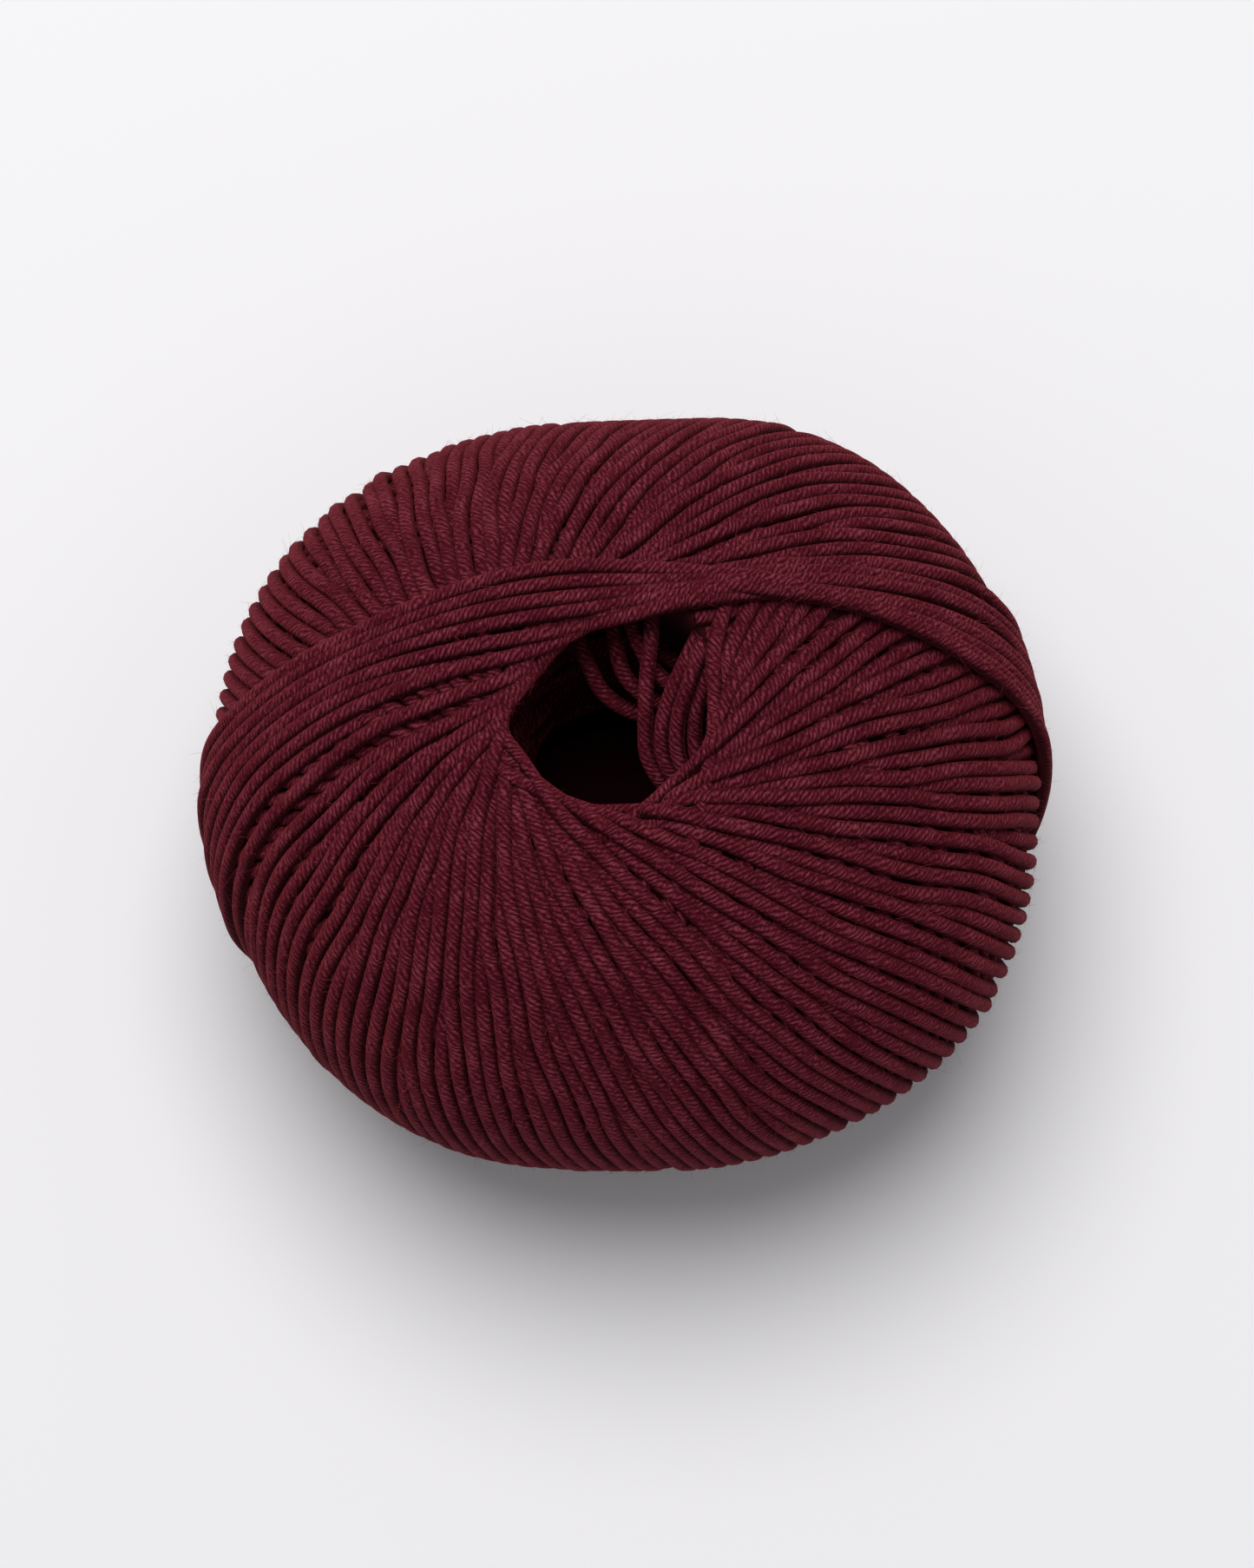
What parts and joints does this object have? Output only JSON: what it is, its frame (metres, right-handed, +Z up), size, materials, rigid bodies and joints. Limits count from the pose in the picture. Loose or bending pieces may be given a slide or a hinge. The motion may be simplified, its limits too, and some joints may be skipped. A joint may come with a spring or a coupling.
{
  "type": "ball of merino yarn",
  "caption": "Machine-wound ball of smooth plied merino yarn, wider than it is tall, with crossing bands of turns, an open centre at the top and a flat spot to rest on.",
  "frame": {"origin": "middle of the bounding box's lowest face, on the flat spot that the ball rests on", "axes": "+Z up along the open centre, +X along the ball's longest width, +Y towards the side where the newest turns pass the open centre"},
  "size_m": [0.0968, 0.0872, 0.064],
  "materials": {
    "merino_yarn": "deep burgundy, matt and softly fuzzy"
  },
  "bodies": {
    "root": {"yarn_ball": "merino_yarn"}
  },
  "joints": []
}
